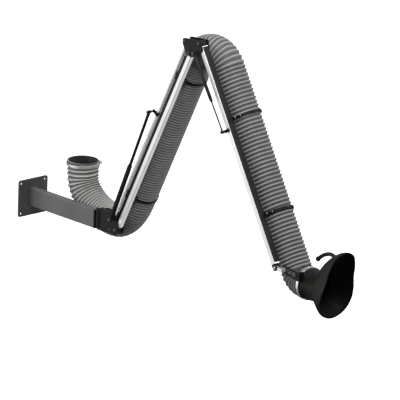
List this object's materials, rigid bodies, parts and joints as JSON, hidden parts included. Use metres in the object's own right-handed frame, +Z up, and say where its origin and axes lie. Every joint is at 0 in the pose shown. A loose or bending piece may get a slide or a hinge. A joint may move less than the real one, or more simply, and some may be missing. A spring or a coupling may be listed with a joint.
{
  "type": "fume extraction arm",
  "caption": "Wall-mounted fume extraction arm with a swivelling console, balanced parallelogram inner arm, outer arm, spiral hose and a turning suction hood.",
  "frame": {"origin": "centre of the wall plate's back face", "axes": "+X out of the wall along the beam, +Z up, hose on the +Y side"},
  "size_m": [2.3245, 0.335, 1.3052],
  "materials": {
    "bracket_paint": "semi-gloss charcoal powder coat",
    "console_paint": "semi-gloss black powder coat",
    "arm_aluminium": "fine brushed, clear anodised",
    "strut_black": "gloss black enamel",
    "rod_black": "glossy black case-hardened steel",
    "bolt_steel": "bright zinc plate",
    "hose_fabric": "grey coated fabric over a wire helix",
    "band_black": "black coated steel band",
    "clamp_steel": "bright zinc plate",
    "hood_plastic": "fine-textured black moulded plastic",
    "collar_plastic": "satin black moulded plastic",
    "grille_wire": "black coated wire"
  },
  "bodies": {
    "wall_bracket": {"wall_plate": "bracket_paint", "beam_tube": "bracket_paint", "swivel_barrel": "console_paint", "hose_inlet": "hose_fabric", "hose_base_bend": "hose_fabric", "inlet_clamp": "clamp_steel", "inlet_clamp_screw": "bolt_steel"},
    "console": {"console_cheek_near": "console_paint", "console_cheek_far": "console_paint", "console_yoke": "console_paint", "swivel_pin": "bolt_steel", "shoulder_bolt": "bolt_steel", "link_bolt_low": "bolt_steel", "balance_foot_stud": "bolt_steel", "hose_shoulder_bend": "hose_fabric"},
    "inner_arm": {"inner_bar": "arm_aluminium", "inner_bar_foot": "console_paint", "inner_bar_head": "console_paint", "inner_band_1": "band_black", "inner_band_1_screw": "bolt_steel", "inner_saddle_1": "console_paint", "inner_band_2": "band_black", "inner_band_2_screw": "bolt_steel", "inner_saddle_2": "console_paint", "hose_inner": "hose_fabric", "hose_elbow_rise": "hose_fabric"},
    "link": {"link_bar": "arm_aluminium", "balance_bracket": "console_paint"},
    "balance_tube": {"balance_cylinder": "strut_black"},
    "balance_piston": {"balance_rod": "rod_black"},
    "elbow_bracket": {"elbow_cheek_near": "console_paint", "elbow_cheek_far": "console_paint", "inner_head_bolt": "bolt_steel", "link_bolt_high": "bolt_steel", "elbow_bolt": "bolt_steel", "strut_foot_stud": "bolt_steel"},
    "outer_arm": {"outer_bar": "arm_aluminium", "outer_bar_head": "console_paint", "outer_bar_foot": "console_paint", "strut_bracket": "console_paint", "outer_band_1": "band_black", "outer_band_1_screw": "bolt_steel", "outer_saddle_1": "console_paint", "outer_band_2": "band_black", "outer_band_2_screw": "bolt_steel", "outer_saddle_2": "console_paint", "hose_outer": "hose_fabric", "hose_elbow_fall": "hose_fabric", "hose_wrist_bend": "hose_fabric"},
    "strut_tube": {"strut_cylinder": "strut_black"},
    "strut_piston": {"strut_rod": "rod_black"},
    "wrist": {"wrist_hub": "arm_aluminium", "wrist_bolt": "bolt_steel", "wrist_plate": "console_paint", "neck_collar": "collar_plastic", "neck_clamp": "clamp_steel", "neck_clamp_screw": "bolt_steel"},
    "hood": {"hood_shell": "hood_plastic", "hood_handle": "hood_plastic", "guard_grille": "grille_wire"}
  },
  "joints": [
    {"name": "swivel", "type": "hinge", "parent": "wall_bracket", "child": "console", "pos_m": [0.545, 0, 0], "axis": [0, 0, 1], "range_deg": [-90, 75], "deforming": ["hose_base_bend"]},
    {"name": "shoulder", "type": "hinge", "parent": "console", "child": "inner_arm", "pos_m": [0.692, 0, -0.019], "axis": [0, -1, 0], "range_deg": [-50, 12], "deforming": ["hose_shoulder_bend"]},
    {"name": "link_swing", "type": "hinge", "parent": "console", "child": "link", "pos_m": [0.657, 0, 0.037], "axis": [0, -1, 0], "range_deg": [-50, 12]},
    {"name": "bracket_level", "type": "hinge", "parent": "inner_arm", "child": "elbow_bracket", "pos_m": [1.23255, 0, 1.07471], "axis": [0, -1, 0], "range_deg": [-12, 50], "deforming": ["hose_elbow_rise"]},
    {"name": "balance_swing", "type": "hinge", "parent": "console", "child": "balance_tube", "pos_m": [0.679, 0, 0.042], "axis": [0, -1, 0], "range_deg": [-50.5, 12.5]},
    {"name": "balance_stroke", "type": "slide", "parent": "balance_tube", "child": "balance_piston", "axis": [0.391, 0, 0.9204], "range_m": [-0.016, 0.006]},
    {"name": "elbow", "type": "hinge", "parent": "elbow_bracket", "child": "outer_arm", "pos_m": [1.30605, 0, 1.14171], "axis": [0, -1, 0], "range_deg": [-15, 75], "deforming": ["hose_elbow_fall"]},
    {"name": "strut_swing", "type": "hinge", "parent": "elbow_bracket", "child": "strut_tube", "pos_m": [1.29255, 0, 1.08871], "axis": [0, -1, 0], "range_deg": [-15.6, 76.8]},
    {"name": "strut_stroke", "type": "slide", "parent": "strut_tube", "child": "strut_piston", "axis": [0.5396, 0, -0.8419], "range_m": [-0.014, 0.066]},
    {"name": "wrist_tilt", "type": "hinge", "parent": "outer_arm", "child": "wrist", "pos_m": [1.93438, 0, 0.07502], "axis": [0, -1, 0], "range_deg": [-60, 35], "deforming": ["hose_wrist_bend"]},
    {"name": "hood_turn", "type": "hinge", "parent": "wrist", "child": "hood", "pos_m": [2.06838, 0.118, 0.00002], "axis": [1, 0, 0], "range_deg": [-120, 120]}
  ],
  "couplings": [
    {"joint": "link_swing", "follows": "shoulder", "ratio": 1},
    {"joint": "bracket_level", "follows": "shoulder", "ratio": -1},
    {"joint": "balance_swing", "follows": "shoulder", "ratio": 1.004},
    {"joint": "balance_stroke", "follows": "shoulder", "m_per_rad": 0.016215},
    {"joint": "strut_swing", "follows": "elbow", "ratio": 1.015},
    {"joint": "strut_stroke", "follows": "elbow", "m_per_rad": 0.048701}
  ]
}
